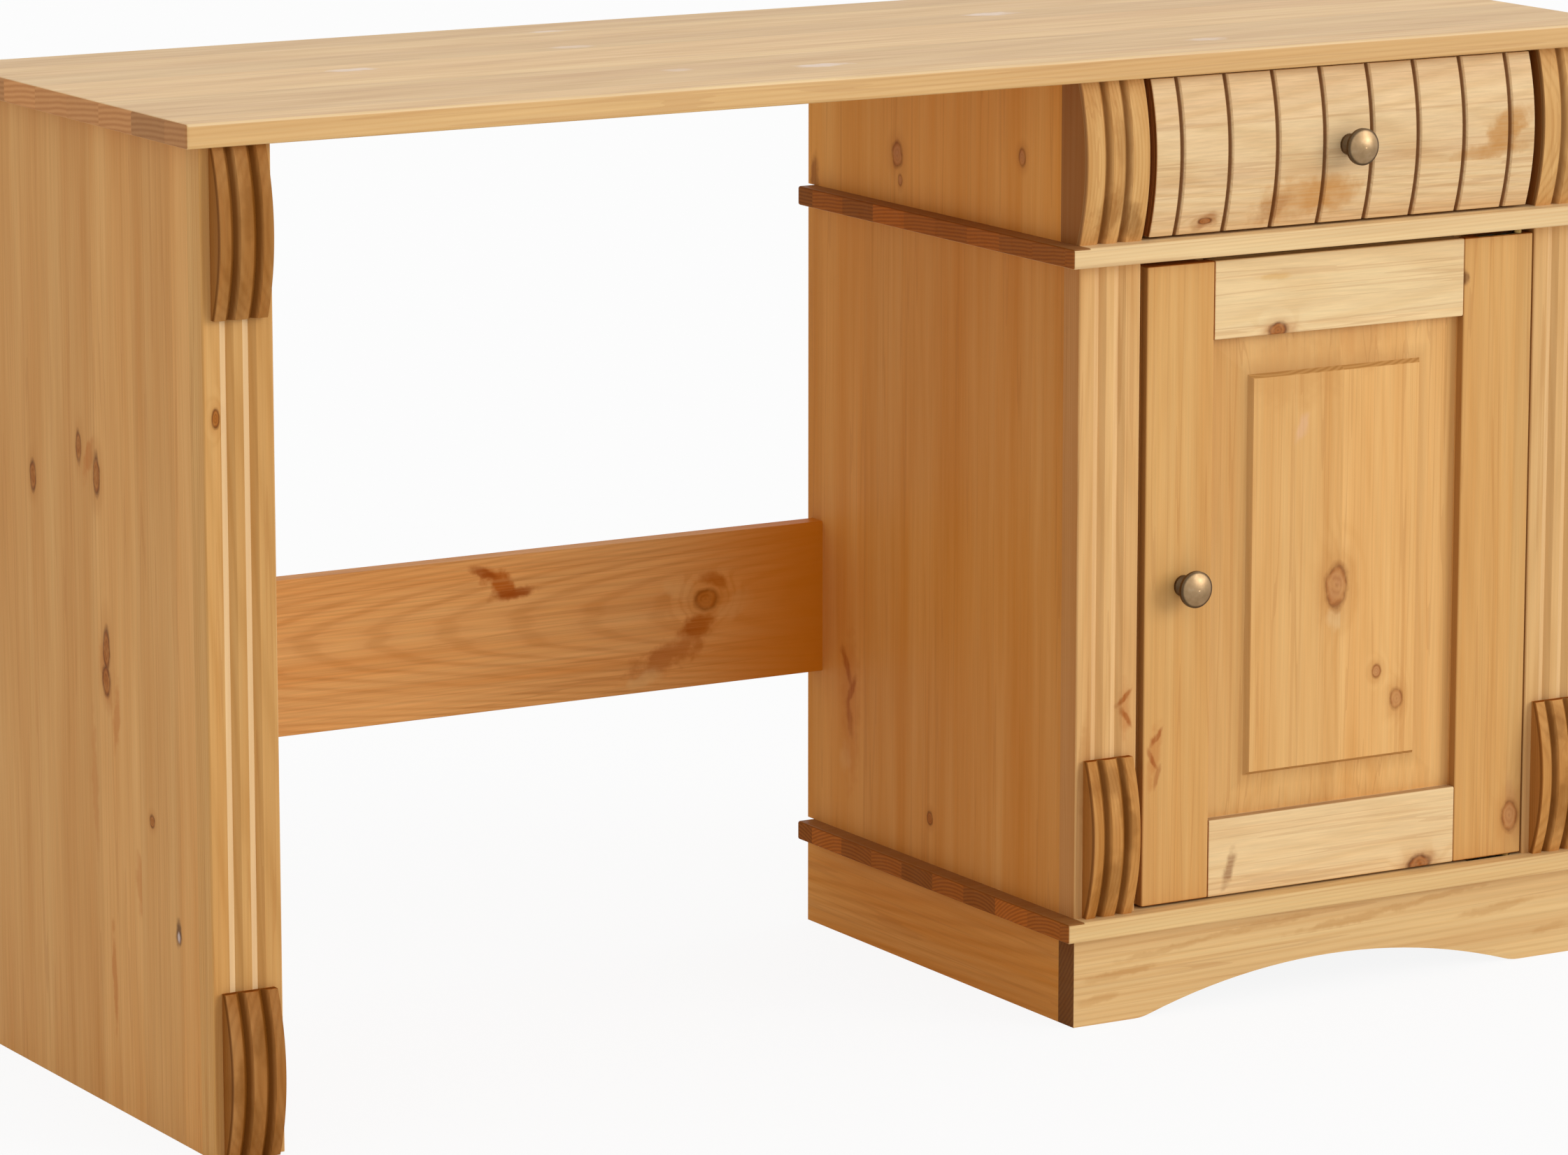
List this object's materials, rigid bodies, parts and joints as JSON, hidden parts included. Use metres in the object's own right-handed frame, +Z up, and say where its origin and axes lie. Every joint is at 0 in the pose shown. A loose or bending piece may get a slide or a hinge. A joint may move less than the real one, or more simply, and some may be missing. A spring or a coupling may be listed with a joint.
{
  "type": "kneehole desk",
  "caption": "Solid pine kneehole desk with a plain top, a fluted end panel, a back rail and a pedestal with a bowed drawer over a panelled door on an arched plinth.",
  "frame": {"origin": "on the floor under the middle of the outline, which runs in depth from the drawer knob's face to the rear edge of the top", "axes": "+X to the right as seen from the front, +Y to the rear, +Z up"},
  "size_m": [1.26, 0.439, 0.76],
  "materials": {
    "oiled_pine": "oiled and waxed, satin",
    "raw_pine": "planed, unfinished",
    "beech": "raw",
    "plywood": "sanded, matt",
    "antique_brass": "aged, satin",
    "hinge_brass": "satin",
    "zinc_steel": "zinc plated",
    "catch_plastic": "moulded, matt"
  },
  "bodies": {
    "carcass": {"back_panel": "plywood", "back_rail": "oiled_pine", "back_rail_dowels": "beech", "bottom_board": "oiled_pine", "bottom_board_dowels": "beech", "cabinet_side_left": "oiled_pine", "cabinet_side_right": "oiled_pine", "catch_body": "catch_plastic", "cupboard_shelf": "oiled_pine", "desk_top": "oiled_pine", "desk_top_dowels": "beech", "drawer_block_left": "oiled_pine", "drawer_block_right": "oiled_pine", "drawer_case_side_left": "oiled_pine", "drawer_case_side_right": "oiled_pine", "drawer_kicker_left": "raw_pine", "drawer_kicker_right": "raw_pine", "drawer_runner_left": "raw_pine", "drawer_runner_right": "raw_pine", "hinge_case_leaves": "hinge_brass", "hinge_case_screws": "zinc_steel", "leg_block_lower": "oiled_pine", "leg_block_upper": "oiled_pine", "leg_panel": "oiled_pine", "leg_pilaster": "oiled_pine", "leg_top_cleat": "raw_pine", "mid_board": "oiled_pine", "mid_board_dowels": "beech", "pilaster_block_left": "oiled_pine", "pilaster_block_right": "oiled_pine", "pilaster_left": "oiled_pine", "pilaster_right": "oiled_pine", "plinth_apron": "oiled_pine", "plinth_back": "oiled_pine", "plinth_corner_blocks": "raw_pine", "plinth_side_left": "oiled_pine", "plinth_side_right": "oiled_pine", "runner_screws": "zinc_steel", "shelf_pins": "zinc_steel", "top_screws": "zinc_steel"},
    "drawer": {"drawer_front": "oiled_pine", "drawer_side_left": "raw_pine", "drawer_side_right": "raw_pine", "drawer_back": "raw_pine", "drawer_bottom": "plywood", "drawer_stops": "raw_pine", "drawer_dowels": "beech", "drawer_knob": "antique_brass", "drawer_knob_screw": "zinc_steel"},
    "door": {"door_stile_left": "oiled_pine", "door_stile_right": "oiled_pine", "door_rail_top": "oiled_pine", "door_rail_bottom": "oiled_pine", "door_panel": "oiled_pine", "door_knob": "antique_brass", "door_knob_screw": "zinc_steel", "hinge_door_leaves": "hinge_brass", "hinge_door_screws": "zinc_steel", "catch_plate": "zinc_steel"}
  },
  "joints": [
    {"name": "drawer_slide", "type": "slide", "parent": "carcass", "child": "drawer", "axis": [0, -1, 0], "range_m": [0, 0.28]},
    {"name": "door_hinge", "type": "hinge", "parent": "carcass", "child": "door", "pos_m": [0.5435, -0.18, 0.342], "axis": [0, 0, 1], "range_deg": [0, 95]}
  ]
}
